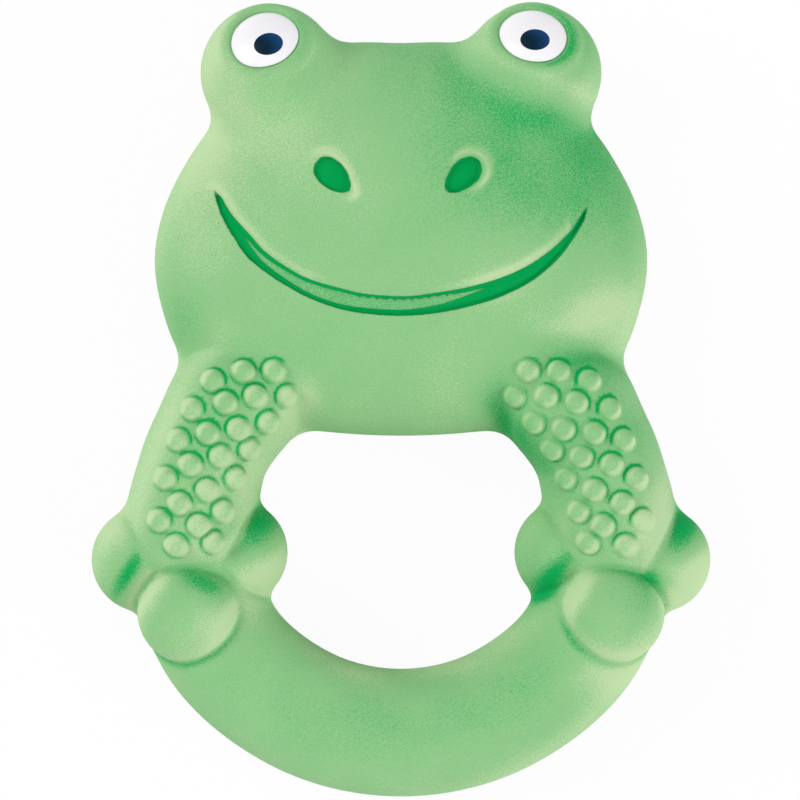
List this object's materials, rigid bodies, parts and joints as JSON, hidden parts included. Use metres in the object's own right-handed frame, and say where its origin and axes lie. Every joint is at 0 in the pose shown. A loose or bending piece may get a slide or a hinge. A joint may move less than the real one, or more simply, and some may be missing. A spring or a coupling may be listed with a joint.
{
  "type": "squeaky bath toy",
  "caption": "Hollow rubber frog that hugs a grip ring, with teething nubs on its arms, painted eyes and a press-in squeaker in its flat back.",
  "frame": {"origin": "middle of the toy's outline on the rest plane that the flat back lies on", "axes": "+Z out of the face, +Y to the top of the head, +X to the right as seen from the front"},
  "size_m": [0.0884, 0.1127, 0.024],
  "materials": {
    "rubber_front": "matt, finely grained natural rubber",
    "rubber_back": "matt, finely grained natural rubber",
    "white_paint": "satin paint",
    "navy_paint": "satin paint",
    "green_paint": "matt paint",
    "squeaker_plastic": "moulded polyethylene",
    "reed_plastic": "moulded polypropylene",
    "reed_film": "clear film"
  },
  "bodies": {
    "back": {"back_shell": "rubber_back", "squeaker_cup": "squeaker_plastic", "squeaker_lid": "squeaker_plastic", "reed_bed": "reed_plastic", "reed_clamp": "reed_plastic"},
    "front": {"front_shell": "rubber_front", "eye_white_left": "white_paint", "eye_white_right": "white_paint", "pupil_left": "navy_paint", "pupil_right": "navy_paint", "nostril_paint_left": "green_paint", "nostril_paint_right": "green_paint", "mouth_paint": "green_paint"},
    "reed": {"reed": "reed_film"}
  },
  "joints": [
    {"name": "squeeze", "type": "slide", "parent": "back", "child": "front", "axis": [0, 0, -1], "range_m": [0, 0.005], "stiffness_N_per_m": 2500, "springref_m": -0.0002, "deforming": ["front_shell"]},
    {"name": "reed_flutter", "type": "hinge", "parent": "back", "child": "reed", "pos_m": [0, 0.02144, 0.0045], "axis": [1, 0, 0], "range_deg": [-4, 4], "stiffness_Nm_per_rad": 0.001}
  ]
}
